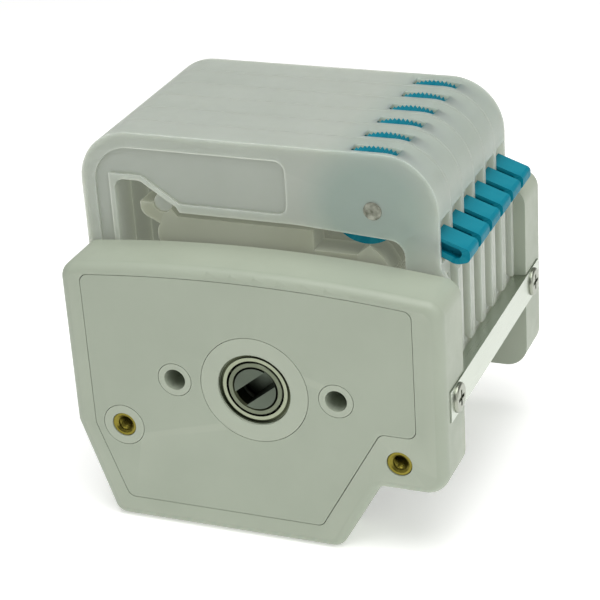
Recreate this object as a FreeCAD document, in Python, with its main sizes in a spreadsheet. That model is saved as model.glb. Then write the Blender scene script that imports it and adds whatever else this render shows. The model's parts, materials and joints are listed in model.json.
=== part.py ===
"""Six-channel cartridge pump head: two moulded end plates, a ten-roller rotor and six clip-on cartridges.

Frame: X right and Z up seen from the drive side, Y from the drive face into the pump.
The origin is where the shaft axis meets the drive face. Millimetres.
"""
import FreeCAD
import Part
import Sketcher
import math
import os

doc = FreeCAD.newDocument("PumpHead")
sheet = doc.addObject("Spreadsheet::Sheet", "Dims")

# Driving sizes, one alias each, grouped by sub-part
SIZES = {
    # end plates: thickness along Y, outline on X and Z
    "plateThick": 16.5, "plateLeft": 55.3, "plateRight": 53.2,
    "plateShoulder": 30.9, "plateCrown": 450.0, "plateBottom": 46.4,
    "kneeLeft": 17.4, "heelLeft": 45.8, "lobeBottom": 25.2, "notchRight": 34.0, "heelRight": 21.8,
    "cornerTop": 5.0, "cornerLobe": 6.5, "cornerHeel": 4.0, "cornerNotch": 2.5, "edgeRound": 3.0,
    # face panel set into each plate
    "panelThick": 2.0, "panelGap": 0.15, "panelLeft": 49.0, "panelRight": 45.2,
    "panelShoulder": 28.9, "panelKnee": 17.0, "panelHeelLeft": 40.9, "panelBottom": 39.5,
    "panelHeelRight": 17.3, "panelNotch": 35.2, "panelStep": 8.4, "panelCorner": 2.5,
    "cavityDepth": 9.0, "cavityInset": 2.5,
    # bosses that come flush through the panel
    "ringRadius": 15.4, "holeOffset": 23.3, "holeRadius": 3.1, "holeDepth": 11.5, "holeBoss": 4.8,
    "insertOffset": 40.2, "insertDrop": 16.4, "insertRadius": 3.6, "insertBoss": 6.0,
    "insertLength": 9.0, "insertBore": 2.1, "insertSink": 0.3,
    # bearings: bore 12, outside 21, width 5
    "bearingSink": 0.8, "bearingWidth": 5.0, "bearingOuter": 10.5, "bearingInner": 6.0,
    "innerLand": 7.75, "outerLand": 8.9, "ballCircle": 8.45, "ballRadius": 1.0, "raceRadius": 1.05,
    "shieldInner": 8.3, "shieldOuter": 9.3, "shieldThick": 0.3, "seatShoulder": 9.2,
    "boreChamfer": 0.6, "grooveOuter": 10.1, "grooveDepth": 0.5,
    # shaft and rotor
    "shaftSink": 0.7, "slotWidth": 4.8, "slotDepth": 7.0, "slotAngle": 38.0, "slotLength": 14.0,
    "rotorPocket": 19.2, "rotorPocketDepth": 5.5, "discRadius": 17.8, "discThick": 3.5, "discLift": 0.5,
    "rollerRadius": 3.0, "rollerCircle": 15.5, "rollerEndGap": 0.4, "axleRadius": 1.2, "axleFit": 0.05,
    # tie rods and their screws
    "rodRadius": 3.4, "rodLowLeft": 33.0, "rodLowRight": 8.0, "rodDrop": 33.0,
    "screwShank": 1.5, "screwHead": 2.75, "screwHeadTall": 3.0, "screwGrip": 13.0,
    # side strips, an angle section let into the plate sides
    "stripSink": 0.6, "stripThick": 1.0, "stripHalf": 4.5, "stripEnd": 4.6, "flangeTop": 4.4,
    "flangeInnerRight": 49.5, "flangeInnerLeft": 51.5, "flangeEndGap": 0.15,
    "stripScrewInset": 10.6, "capRadius": 4.1, "capTall": 0.9, "capRound": 0.7, "crossWidth": 1.0,
    "crossSpan": 2.3, "crossDeep": 0.6, "stripShank": 2.0, "stripShankLength": 9.0,
    # cartridges
    "endGap": 0.2, "pitch": 10.0, "cartThick": 9.8, "cartLeft": 54.0, "cartRight": 47.8,
    "cartTop": 63.9, "shoulderRound": 15.0, "legLeftInner": 44.3, "legRightInner": 38.3,
    "windowTop": 50.2, "slopeStart": 36.5, "slopeEndX": 26.4, "slopeEndZ": 43.5, "archLeft": 25.4,
    "archTop": 41.9, "archBreak": 8.0, "archRight": 40.0, "archRound": 4.5, "windowRound": 3.0,
    "footLevel": 4.75, "footBottom": 1.5, "footInner": 42.0, "footOuter": 48.8, "hookTip": 51.4,
    "hookTop": 2.7, "footLeftOuter": 51.0, "footLeftInner": 45.0,
    "recessDeep": 0.8, "recessLeft": 50.0, "recessTop": 59.4, "recessRight": 5.9, "recessBottom": 44.3,
    "recessRound": 11.0, "recessCorner": 3.0, "rimInner": 45.7, "rimTop": 51.6, "rimSlope": 36.2,
    "rimSlopeEnd": 25.4, "slotFront": 1.3, "slotBack": 5.5, "slotFloor": 34.3, "slotRoof": 46.4,
    "wellRadius": 16.95, "slotReach": 70.0,
    "pocketFront": 1.0, "pocketWide": 8.1, "pocketInner": 45.8, "pocketLow": 36.0,
    "tubeSlotFront": 2.8, "tubeSlotWide": 4.2, "tubeSlotTop": 13.0, "grooveTop": 30.0, "grooveDeep": 0.9,
    "ribOuter": 49.9, "ribTop": 33.0, "ribThick": 1.6,
    "lugX": 30.8, "lugZ": 43.8, "lugRadius": 2.6, "lugFront": 1.6, "lugThick": 6.6, "lugWeb": 1.6,
    "lugWebTop": 47.0,
    # pivot pin of the lever
    "pivotX": 29.8, "pivotZ": 47.9, "pinRadius": 1.5, "pinHead": 2.5, "pinHeadTall": 0.8, "pinLength": 9.0,
    # lever with ratchet wheel, cam and finger tab
    "wheelRadius": 16.2, "toothDeep": 0.8, "toothPitch": 4.3, "wheelStart": 30.0, "wheelEnd": 185.0,
    "wheelFront": 1.6, "wheelThick": 3.6, "wheelBore": 1.55, "camOffset": 2.55, "camRadius": 10.1,
    "armInner": 36.0, "armTop": 45.9, "armLow": 41.4, "tabRoot": 46.1, "tabRootTop": 42.27,
    "tabRootLow": 37.57, "tabTipX": 55.4, "tabTipTop": 38.9, "tabTipLow": 35.6, "tabHeel": 51.4,
    "tabHeelZ": 34.5, "tabFront": 1.3, "tabWide": 7.5, "tabRound": 1.5, "tabHeelRound": 3.5,
    "tabGrooveDeep": 2.0,
    "grooveFrom": 46.1, "grooveFromZ": 40.0, "grooveTo": 51.8, "grooveToZ": 37.75, "grooveHalf": 1.4,
    # pressure shoe
    "shoeFront": 0.9, "shoeThick": 8.0, "shoeArc": 21.0, "shoeArcX": 0.39,
    "shoeArcLift": 0.28, "hookInner": 2.68,
    "hookOuter": 6.6, "shoeTop": 40.3, "shoeTopLeft": 26.6, "shoeTopRight": 12.5, "shoeDeck": 34.6,
    "ridgeX": 28.2, "ridgeTop": 37.6, "ridgeFoot": 3.6, "shoeRight": 34.0, "shoeRightZ": 31.0,
    "shoeLowX": 25.0, "shoeLowZ": 13.5, "shoeArcEnd": 12.2, "shoeLeftZ": 38.2, "shoeLeftX": 34.6,
    "heelRound": 5.0, "hookRound": 3.0,
}
CARTRIDGES = 6
ROLLERS = 10
BALLS = 14


def fillSheet():
    """One row per size: the name in column A, the plain number in column B, with its alias."""
    for row, (name, value) in enumerate(SIZES.items(), start=1):
        sheet.set("A%d" % row, name)
        sheet.set("B%d" % row, str(value))
        sheet.setAlias("B%d" % row, name)


def size(name):
    """Value of an alias; a leading minus gives the negative."""
    if name.startswith("-"):
        return -SIZES[name[1:]]
    return SIZES[name]


def dim(name):
    """Expression text for an alias."""
    return "Dims." + name


def newBody(label):
    body = doc.addObject("PartDesign::Body", label)
    body.Label = label
    return body


def frontSketch(body, name, depth=None):
    """Sketch on the body's XZ plane, moved back along +Y by an alias or an expression."""
    sketch = body.newObject("Sketcher::SketchObject", name)
    plane = [f for f in body.Origin.OriginFeatures if f.Role == "XZ_Plane"][0]
    sketch.AttachmentSupport = [(plane, "")]
    sketch.MapMode = "FlatFace"
    if depth:
        sketch.setExpression("AttachmentOffset.Base.z", "-(%s)" % depth)
    return sketch


def place(sketch, geometry, end, spot):
    """Hold one end of a line, arc or centre at an (x, z) pair of aliases."""
    for kind, name, axis in (("DistanceX", spot[0], -2), ("DistanceY", spot[1], -1)):
        if name is None:
            sketch.addConstraint(Sketcher.Constraint("PointOnObject", geometry, end, axis))
        elif name.startswith("-"):
            index = sketch.addConstraint(Sketcher.Constraint(kind, geometry, end, -1, 1, size(name[1:])))
            sketch.setExpression("Constraints[%d]" % index, dim(name[1:]))
        else:
            index = sketch.addConstraint(Sketcher.Constraint(kind, -1, 1, geometry, end, size(name)))
            sketch.setExpression("Constraints[%d]" % index, dim(name))


def point(spot):
    x = 0.0 if spot[0] is None else size(spot[0])
    z = 0.0 if spot[1] is None else size(spot[1])
    return FreeCAD.Vector(x, z, 0)


def outline(sketch, spots, rounds=None, bow=None):
    """Closed outline through (x, z) alias pairs. rounds gives {spot: radius alias} for rounded corners;
    bow is a radius alias that turns the first segment into an arc bulging outwards."""
    first = sketch.GeometryCount
    points = [point(s) for s in spots]
    count = len(points)
    for i in range(count):
        a = points[i]
        b = points[(i + 1) % count]
        if bow and i == 0:
            sketch.addGeometry(bowedArc(a, b, size(bow)))
            index = sketch.addConstraint(Sketcher.Constraint("Radius", first, size(bow)))
            sketch.setExpression("Constraints[%d]" % index, dim(bow))
        else:
            sketch.addGeometry(Part.LineSegment(a, b))
    for i in range(count):
        start, stop = (2, 1) if bow and i == 0 else (1, 2)
        nextStart = 2 if bow and i == count - 1 else 1
        place(sketch, first + i, start, spots[i])
        after = first + (i + 1) % count
        sketch.addConstraint(Sketcher.Constraint("Coincident", first + i, stop, after, nextStart))
    for i, radius in (rounds or {}).items():
        before = sketch.GeometryCount
        sketch.fillet(first + i, 1, size(radius), True, True)
        index = sketch.addConstraint(Sketcher.Constraint("Radius", before, size(radius)))
        sketch.setExpression("Constraints[%d]" % index, dim(radius))


def bowedArc(a, b, radius):
    """Arc of a radius from b to a, turning anticlockwise round a centre below the chord."""
    half = (b - a).Length / 2
    along = (b - a).normalize()
    across = FreeCAD.Vector(along.y, -along.x, 0)
    centre = (a + b) / 2 + across * math.sqrt(radius * radius - half * half)
    start = math.atan2(b.y - centre.y, b.x - centre.x)
    stop = math.atan2(a.y - centre.y, a.x - centre.x)
    return Part.ArcOfCircle(Part.Circle(centre, FreeCAD.Vector(0, 0, 1), radius), start, stop)


def ring(sketch, spot, radius):
    """Circle at an alias pair with a bound radius."""
    index = sketch.addGeometry(Part.Circle(point(spot), FreeCAD.Vector(0, 0, 1), size(radius)))
    if spot[0] is None and spot[1] is None:
        sketch.addConstraint(Sketcher.Constraint("Coincident", index, 3, -1, 1))
    else:
        place(sketch, index, 3, spot)
    held = sketch.addConstraint(Sketcher.Constraint("Radius", index, size(radius)))
    sketch.setExpression("Constraints[%d]" % held, dim(radius))


def pad(body, sketch, length):
    """Pad towards +Y by an expression."""
    feature = body.newObject("PartDesign::Pad", "Pad")
    feature.Profile = sketch
    feature.Reversed = True
    feature.setExpression("Length", length)
    return feature


def cut(body, sketch, length):
    """Pocket towards +Y by an expression; it must take material away."""
    doc.recompute()
    before = body.Shape.Volume
    feature = body.newObject("PartDesign::Pocket", "Pocket")
    feature.Profile = sketch
    feature.setExpression("Length", length)
    doc.recompute()
    if body.Shape.Volume > before - 0.01:
        raise RuntimeError(body.Label + ": a pocket cut nothing")
    return feature


def roundTopCorners(body):
    """Fillet the two upright edges where the crown meets the plate's sides."""
    doc.recompute()
    corners = [point(spot) for spot in PLATE_SPOTS[:2]]
    names = []
    for i, edge in enumerate(body.Tip.Shape.Edges, start=1):
        ends = [v.Point for v in edge.Vertexes]
        if len(ends) == 2 and abs(ends[0].y - ends[1].y) > SIZES["plateThick"] / 2:
            spot = FreeCAD.Vector(ends[0].x, ends[0].z, 0)
            if min((spot - corner).Length for corner in corners) < 0.01:
                names.append("Edge%d" % i)
    fillet(body, names, "Dims.cornerTop")


def fillet(body, names, radius):
    feature = body.newObject("PartDesign::Fillet", "Fillet")
    feature.Base = (body.Group[-2], names)
    feature.setExpression("Radius", radius)
    body.Tip = feature
    return feature


def roundFrontEdges(body, y, radius):
    """Fillet the whole outer edge loop that lies at one Y."""
    doc.recompute()
    names = []
    for i, edge in enumerate(body.Tip.Shape.Edges, start=1):
        box = edge.BoundBox
        if abs(box.YMin - y) < 0.01 and abs(box.YMax - y) < 0.01:
            names.append("Edge%d" % i)
    fillet(body, names, radius)


def rod(label, radius, length, spot, y):
    """Round bar along +Y from an expression for its start; spot is an alias pair."""
    bar = doc.addObject("Part::Cylinder", label)
    bar.setExpression("Radius", radius)
    bar.setExpression("Height", length)
    bar.Placement.Rotation = FreeCAD.Rotation(FreeCAD.Vector(1, 0, 0), -90)
    for axis, name in (("x", spot[0]), ("z", spot[1])):
        if name:
            text = "-" + dim(name[1:]) if name.startswith("-") else dim(name)
            bar.setExpression("Placement.Base." + axis, text)
    bar.setExpression("Placement.Base.y", y)
    return bar


def subtract(label, base, tool):
    feature = doc.addObject("Part::Cut", label)
    feature.Base = base
    feature.Tool = tool
    return feature


def join(label, pieces):
    feature = doc.addObject("Part::MultiFuse", label)
    feature.Shapes = pieces
    return feature


def group(label, pieces):
    """Several separate solids in one node."""
    feature = doc.addObject("Part::Compound", label)
    feature.Links = pieces
    return feature


# End plates -------------------------------------------------------------

REAR_FACE = "2 * Dims.plateThick + 2 * Dims.endGap + %d * Dims.pitch" % CARTRIDGES
REAR_INNER = "Dims.plateThick + 2 * Dims.endGap + %d * Dims.pitch" % CARTRIDGES
DEPTH = 2 * SIZES["plateThick"] + 2 * SIZES["endGap"] + CARTRIDGES * SIZES["pitch"]

PLATE_SPOTS = [("-plateLeft", "plateShoulder"), ("plateRight", "plateShoulder"),
               ("plateRight", "-lobeBottom"), ("notchRight", "-lobeBottom"),
               ("heelRight", "-plateBottom"), ("-heelLeft", "-plateBottom"), ("-plateLeft", "-kneeLeft")]
PLATE_ROUNDS = {2: "cornerLobe", 3: "cornerNotch", 4: "cornerHeel", 5: "cornerHeel", 6: "cornerHeel"}
PANEL_SPOTS = [("-panelLeft", "-panelKnee"), ("-panelLeft", "panelShoulder"),
               ("panelRight", "panelShoulder"), ("panelRight", "-panelStep"),
               ("panelNotch", "-panelStep"), ("panelHeelRight", "-panelBottom"),
               ("-panelHeelLeft", "-panelBottom")]
PANEL_ROUNDS = {i: "panelCorner" for i in range(7)}
TIE_SPOTS = [("-holeOffset", None), ("holeOffset", None), ("-rodLowLeft", "-rodDrop"),
             ("rodLowRight", "-rodDrop")]


def buildPlate(label, rear):
    """Moulded end plate: outline, rounded face edge, panel recess, cavity, bosses and bores.
    The rear plate is the same moulding mirrored through the middle of the pump."""
    body = newBody(label)
    face = frontSketch(body, label + "Outline")
    outline(face, PLATE_SPOTS, PLATE_ROUNDS, bow="plateCrown")
    pad(body, face, "Dims.plateThick")
    roundTopCorners(body)
    roundFrontEdges(body, 0, "Dims.edgeRound")
    recess = frontSketch(body, label + "Recess")
    outline(recess, PANEL_SPOTS, PANEL_ROUNDS)
    cut(body, recess, "Dims.panelThick")
    cut(body, crown(body, label + "RecessCrown", "panel"), "Dims.panelThick")
    cutCavity(body, label)
    bosses = frontSketch(body, label + "Bosses")
    ring(bosses, (None, None), "ringRadius")
    ring(bosses, ("-holeOffset", None), "holeBoss")
    ring(bosses, ("holeOffset", None), "holeBoss")
    ring(bosses, ("-insertOffset", "-insertDrop"), "insertBoss")
    pad(body, bosses, "Dims.panelThick + Dims.cavityDepth")
    posts = frontSketch(body, label + "Posts", "Dims.panelThick")
    for spot in TIE_SPOTS[2:]:
        ring(posts, spot, "holeBoss")
    pad(body, posts, "Dims.cavityDepth")
    cutBores(body, label, rear)
    for side in ("Left", "Right"):
        cutStripSeat(body, label, side)
    if rear:
        return mirrored(label, body)
    return body


def crown(body, name, kind):
    """Low arch over the straight shoulder line of the panel's recess or of the panel itself."""
    arch = frontSketch(body, name)
    outline(arch, [("-%sCrownLeft" % kind, kind + "Shoulder"), (kind + "CrownRight", kind + "Shoulder")],
            bow="plateCrown")
    return arch


def cutCavity(body, label):
    """Hollow behind the panel, leaving a ledge all round for the panel to sit on."""
    hollow = frontSketch(body, label + "Hollow", "Dims.panelThick")
    first = [("-cavityLeft", "-cavityKnee"), ("-cavityLeft", "cavityTop"), ("cavityRight", "cavityTop"),
             ("cavityRight", "-cavityStep"), ("cavityNotch", "-cavityStep"),
             ("cavityHeelRight", "-cavityBottom"), ("-cavityHeelLeft", "-cavityBottom")]
    outline(hollow, first)
    cut(body, hollow, "Dims.cavityDepth")


def cutBores(body, label, rear):
    """Bearing seat, shaft way, rotor pocket, screw holes and, on the drive side, insert holes."""
    seat = frontSketch(body, label + "Seat")
    ring(seat, (None, None), "bearingOuter")
    cut(body, seat, "Dims.bearingSink + Dims.bearingWidth")
    way = frontSketch(body, label + "Way")
    ring(way, (None, None), "seatShoulder")
    cut(body, way, "Dims.plateThick")
    pocket = frontSketch(body, label + "RotorPocket", "Dims.plateThick - Dims.rotorPocketDepth")
    ring(pocket, (None, None), "rotorPocket")
    cut(body, pocket, "Dims.rotorPocketDepth")
    heads = frontSketch(body, label + "HeadHoles")
    for spot in TIE_SPOTS:
        ring(heads, spot, "holeRadius")
    cut(body, heads, "Dims.holeDepth")
    shanks = frontSketch(body, label + "ShankHoles")
    for spot in TIE_SPOTS:
        ring(shanks, spot, "shankHole")
    cut(body, shanks, "Dims.plateThick")
    if not rear:
        inserts = frontSketch(body, label + "InsertHoles")
        ring(inserts, ("-insertOffset", "-insertDrop"), "insertRadius")
        ring(inserts, ("insertOffset", "-insertDrop"), "insertRadius")
        cut(body, inserts, "Dims.insertSink + Dims.insertLength")


def cutStripSeat(body, label, side):
    """Shallow seat in the plate's side for the strip, and the strip screw's hole."""
    edge = SIZES["plate" + side]
    sign = 1 if side == "Right" else -1
    seat = body.newObject("PartDesign::SubtractiveBox", label + side + "Seat")
    seat.setExpression("Length", "Dims.stripSink + 1")
    seat.setExpression("Width", "Dims.plateThick - Dims.stripEnd + Dims.flangeEndGap + 1")
    seat.setExpression("Height", "2 * Dims.stripHalf + 2 * Dims.flangeEndGap")
    inner = edge - SIZES["stripSink"]
    outerStart = inner if sign > 0 else -inner - SIZES["stripSink"] - 1
    seat.Placement.Base = FreeCAD.Vector(
        outerStart, SIZES["stripEnd"] - SIZES["flangeEndGap"], -SIZES["stripHalf"] - SIZES["flangeEndGap"])
    hole = body.newObject("PartDesign::SubtractiveCylinder", label + side + "ScrewHole")
    hole.setExpression("Radius", "Dims.stripShank")
    hole.setExpression("Height", "Dims.stripShankLength + 1")
    hole.Placement.Rotation = FreeCAD.Rotation(FreeCAD.Vector(0, 1, 0), -90 * sign)
    hole.Placement.Base = FreeCAD.Vector(sign * (edge + 0.5), SIZES["stripScrewInset"], 0)


def mirrored(label, body):
    """Mirror a sub-part through the middle plane of the pump."""
    body.Label = label + "_pattern"
    twin = doc.addObject("Part::Mirroring", label)
    twin.Source = body
    twin.Normal = FreeCAD.Vector(0, 1, 0)
    twin.Base = FreeCAD.Vector(0, DEPTH / 2, 0)
    twin.Label = label
    return twin


def buildPanel(label, rear):
    """Flush face panel with clear holes round the bosses."""
    body = newBody(label)
    face = frontSketch(body, label + "Outline")
    spots = [("-lidLeft", "-lidKnee"), ("-lidLeft", "lidShoulder"), ("lidRight", "lidShoulder"),
             ("lidRight", "-lidStep"), ("lidNotch", "-lidStep"), ("lidHeelRight", "-lidBottom"),
             ("-lidHeelLeft", "-lidBottom")]
    outline(face, spots, PANEL_ROUNDS)
    pad(body, face, "Dims.panelThick")
    pad(body, crown(body, label + "Crown", "lid"), "Dims.panelThick")
    holes = frontSketch(body, label + "Holes")
    ring(holes, (None, None), "ringHole")
    ring(holes, ("-holeOffset", None), "bossHole")
    ring(holes, ("holeOffset", None), "bossHole")
    ring(holes, ("-insertOffset", "-insertDrop"), "insertHole")
    cut(body, holes, "Dims.panelThick")
    if rear:
        return mirrored(label, body)
    return body


def addWorkedSizes():
    """Sizes that follow from others."""
    gap = SIZES["panelGap"]
    inset = SIZES["cavityInset"]
    SIZES["shankHole"] = SIZES["screwShank"] + 0.1
    SIZES["ringHole"] = SIZES["ringRadius"] + gap
    SIZES["bossHole"] = SIZES["holeBoss"] + gap
    SIZES["insertHole"] = SIZES["insertBoss"] + gap
    for end in ("Left", "Right", "Knee", "HeelLeft", "Bottom", "HeelRight", "Shoulder"):
        SIZES["lid" + end] = SIZES["panel" + end] - gap
    for kind in ("panel", "lid"):
        for end in ("Left", "Right"):
            SIZES["%sCrown%s" % (kind, end)] = SIZES[kind + end] - SIZES["panelCorner"]
    SIZES["lidStep"] = SIZES["panelStep"] - gap
    SIZES["lidNotch"] = SIZES["panelNotch"] - gap
    for end in ("Left", "Right", "Knee", "HeelLeft", "Bottom", "HeelRight", "Step"):
        SIZES["cavity" + end] = SIZES["panel" + end] - inset
    SIZES["cavityNotch"] = SIZES["panelNotch"] - inset
    SIZES["cavityTop"] = SIZES["panelShoulder"] - inset


# Bearings ----------------------------------------------------------------

def buildBearing(side, start):
    """Outer ring, inner ring, balls and shields, as four nodes."""
    races = doc.addObject("Part::Torus", side + "_race_cut")
    races.setExpression("Radius1", "Dims.ballCircle")
    races.setExpression("Radius2", "Dims.raceRadius")
    races.Placement.Rotation = FreeCAD.Rotation(FreeCAD.Vector(1, 0, 0), -90)
    races.setExpression("Placement.Base.y", "%s + Dims.bearingWidth / 2" % start)
    for part, outside, inside in (("outer", "bearingOuter", "outerLand"),
                                  ("inner", "innerLand", "bearingInner")):
        name = "%s_bearing_%s_ring" % (side, part)
        full = rod(name + "_full", dim(outside), "Dims.bearingWidth", (None, None), start)
        bore = rod(name + "_bore", dim(inside), "Dims.bearingWidth", (None, None), start)
        tube = subtract(name + "_tube", full, bore)
        ends = shieldSeats(name, start) if part == "outer" else boreChamfers(name, start)
        subtract(name, subtract(name + "_ended", tube, ends), races)
    balls = []
    for i in range(BALLS):
        ball = doc.addObject("Part::Sphere", "%s_ball_%d" % (side, i + 1))
        ball.setExpression("Radius", "Dims.ballRadius")
        angle = "%d deg * 360 / %d" % (i, BALLS)
        ball.setExpression("Placement.Base.x", "Dims.ballCircle * cos(%s)" % angle)
        ball.setExpression("Placement.Base.z", "Dims.ballCircle * sin(%s)" % angle)
        ball.setExpression("Placement.Base.y", "%s + Dims.bearingWidth / 2" % start)
        balls.append(ball)
    group(side + "_bearing_balls", balls)
    shields = [shield(side + "_shield_a", start),
               shield(side + "_shield_b", "%s + Dims.bearingWidth - Dims.shieldThick" % start)]
    group(side + "_bearing_shields", shields)


def shield(name, start):
    disc = rod(name + "_disc", "Dims.shieldOuter", "Dims.shieldThick", (None, None), start)
    eye = rod(name + "_eye", "Dims.shieldInner", "Dims.shieldThick", (None, None), start)
    return subtract(name, disc, eye)


def shieldSeats(name, start):
    """The steps in the outer ring that hold the shields, and the open groove round each shield."""
    tools = []
    for end, depth in (("a", "0"), ("b", "Dims.bearingWidth - Dims.shieldThick")):
        tools.append(rod(name + "_seat_" + end, "Dims.shieldOuter", "Dims.shieldThick", (None, None),
                         "%s + %s" % (start, depth)))
    for end, depth in (("a", "0"), ("b", "Dims.bearingWidth - Dims.grooveDepth")):
        begin = "%s + %s" % (start, depth)
        outside = rod(name + "_groove_" + end, "Dims.grooveOuter", "Dims.grooveDepth", (None, None), begin)
        kept = rod(name + "_core_" + end, "Dims.shieldOuter", "Dims.grooveDepth", (None, None), begin)
        tools.append(subtract(name + "_groove_ring_" + end, outside, kept))
    return join(name + "_seats", tools)


def boreChamfers(name, start):
    """Chamfers at both ends of the inner ring's bore, as two cones."""
    wide = "Dims.bearingInner + Dims.boreChamfer"
    near = cone(name + "_chamfer_a", wide, "Dims.bearingInner", "Dims.boreChamfer", start)
    far = cone(name + "_chamfer_b", "Dims.bearingInner", wide, "Dims.boreChamfer",
               "%s + Dims.bearingWidth - Dims.boreChamfer" % start)
    return join(name + "_chamfers", [near, far])


def cone(name, near, far, length, y):
    """Cone along +Y on the shaft's axis, from its near radius to its far one."""
    taper = doc.addObject("Part::Cone", name)
    taper.setExpression("Radius1", near)
    taper.setExpression("Radius2", far)
    taper.setExpression("Height", length)
    taper.Placement.Rotation = FreeCAD.Rotation(FreeCAD.Vector(1, 0, 0), -90)
    taper.setExpression("Placement.Base.y", y)
    return taper


# Rotor -------------------------------------------------------------------

def buildShaft():
    """Drive shaft with the cross slot that the drive's tang enters."""
    bar = rod("drive_shaft_bar", "Dims.bearingInner", "%s - 2 * Dims.shaftSink" % REAR_FACE, (None, None),
              "Dims.shaftSink")
    slot = doc.addObject("Part::Box", "drive_shaft_slot")
    slot.setExpression("Length", "Dims.slotLength")
    slot.setExpression("Width", "Dims.slotDepth + 1")
    slot.setExpression("Height", "Dims.slotWidth")
    turn = FreeCAD.Rotation(FreeCAD.Vector(0, 1, 0), -SIZES["slotAngle"])
    corner = FreeCAD.Vector(-SIZES["slotLength"] / 2, SIZES["shaftSink"] - 1, -SIZES["slotWidth"] / 2)
    slot.Placement = FreeCAD.Placement(turn.multVec(corner), turn)
    subtract("drive_shaft", bar, slot)


def rollerSpot(i):
    """Expressions for a roller's place on its circle."""
    angle = "%d deg * 360 / %d" % (i, ROLLERS)
    return "Dims.rollerCircle * cos(%s)" % angle, "Dims.rollerCircle * sin(%s)" % angle


def bar(name, radius, length, y, spot):
    """Round bar along +Y with its place given as two expressions."""
    piece = rod(name, radius, length, (None, None), y)
    piece.setExpression("Placement.Base.x", spot[0])
    piece.setExpression("Placement.Base.z", spot[1])
    return piece


def buildRotor():
    """Two discs on the shaft, ten axles between them and a free roller on each axle."""
    front = "Dims.plateThick - Dims.discThick - Dims.discLift"
    rear = "%s + Dims.discLift" % REAR_INNER
    axleStart = front + " + 1"
    axleLength = "%s + Dims.discThick - (%s) - 2" % (rear, front)
    for label, start in (("rotor_disc_front", front), ("rotor_disc_rear", rear)):
        disc = rod(label + "_blank", "Dims.discRadius", "Dims.discThick", (None, None), start)
        eyes = [rod(label + "_eye", "Dims.bearingInner", "Dims.discThick", (None, None), start)]
        for i in range(ROLLERS):
            seat = "%s_seat_%d" % (label, i + 1)
            eyes.append(bar(seat, "Dims.axleRadius", axleLength, axleStart, rollerSpot(i)))
        subtract(label, disc, join(label + "_holes", eyes))
    axles = []
    rollerStart = "%s + Dims.discThick + Dims.rollerEndGap" % front
    rollerLength = "%s - Dims.rollerEndGap - (%s)" % (rear, rollerStart)
    for i in range(ROLLERS):
        name = "roller_%02d" % (i + 1)
        axles.append(bar("axle_%d" % (i + 1), "Dims.axleRadius", axleLength, axleStart, rollerSpot(i)))
        blank = bar(name + "_blank", "Dims.rollerRadius", rollerLength, rollerStart, rollerSpot(i))
        bore = bar(name + "_bore", "Dims.axleRadius + Dims.axleFit", rollerLength, rollerStart, rollerSpot(i))
        subtract(name, blank, bore)
    group("roller_axles", axles)


# Frame hardware ------------------------------------------------------------

def buildTieRods():
    """Four round spacers between the plates and the socket screws that hold them."""
    names = ("tie_rod_left", "tie_rod_right", "tie_rod_low_left", "tie_rod_low_right")
    length = "%d * Dims.pitch + 2 * Dims.endGap" % CARTRIDGES
    screws = []
    for name, spot in zip(names, TIE_SPOTS):
        blank = rod(name + "_blank", "Dims.rodRadius", length, spot, "Dims.plateThick")
        grip = "Dims.screwGrip - (Dims.plateThick - Dims.holeDepth)"
        near = rod(name + "_tap_a", "Dims.screwShank", grip, spot, "Dims.plateThick")
        far = rod(name + "_tap_b", "Dims.screwShank", grip, spot, "%s - (%s)" % (REAR_INNER, grip))
        subtract(name, blank, join(name + "_taps", [near, far]))
        screws += [socketScrew(name + "_screw_a", spot, False), socketScrew(name + "_screw_b", spot, True)]
    group("tie_rod_screws", screws)


def socketScrew(name, spot, rear):
    """Socket head screw sunk in its plate hole, shank into the spacer."""
    if rear:
        seat = "%s - Dims.holeDepth" % REAR_FACE
        headStart = seat
        stemStart = "%s - Dims.screwGrip" % seat
        socketStart = "%s + Dims.screwHeadTall / 2" % seat
    else:
        headStart = "Dims.holeDepth - Dims.screwHeadTall"
        stemStart = "Dims.holeDepth"
        socketStart = headStart
    head = rod(name + "_head", "Dims.screwHead", "Dims.screwHeadTall", spot, headStart)
    stem = rod(name + "_stem", "Dims.screwShank", "Dims.screwGrip", spot, stemStart)
    socket = doc.addObject("Part::Prism", name + "_socket")
    socket.Polygon = 6
    socket.setExpression("Circumradius", "Dims.screwHead / 2")
    socket.setExpression("Height", "Dims.screwHeadTall / 2")
    socket.Placement.Rotation = FreeCAD.Rotation(FreeCAD.Vector(1, 0, 0), -90)
    x = size(spot[0])
    z = size(spot[1]) if spot[1] else 0.0
    socket.Placement.Base = FreeCAD.Vector(x, 0, z)
    socket.setExpression("Placement.Base.y", socketStart)
    return subtract(name, join(name + "_blank", [head, stem]), socket)


def buildInserts():
    """Two brass threaded inserts in the drive side plate."""
    pair = []
    for name, spot in (("insert_left", ("-insertOffset", "-insertDrop")),
                       ("insert_right", ("insertOffset", "-insertDrop"))):
        blank = rod(name + "_blank", "Dims.insertRadius", "Dims.insertLength", spot, "Dims.insertSink")
        bore = rod(name + "_bore", "Dims.insertBore", "Dims.insertLength", spot, "Dims.insertSink")
        pair.append(subtract(name, blank, bore))
    group("threaded_inserts", pair)


def box(name, length, width, height, corner):
    """Box from three lengths and a corner, all expressions."""
    block = doc.addObject("Part::Box", name)
    for key, text in (("Length", length), ("Width", width), ("Height", height)):
        block.setExpression(key, text)
    for axis, text in zip(("x", "y", "z"), corner):
        block.setExpression("Placement.Base." + axis, text)
    return block


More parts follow.
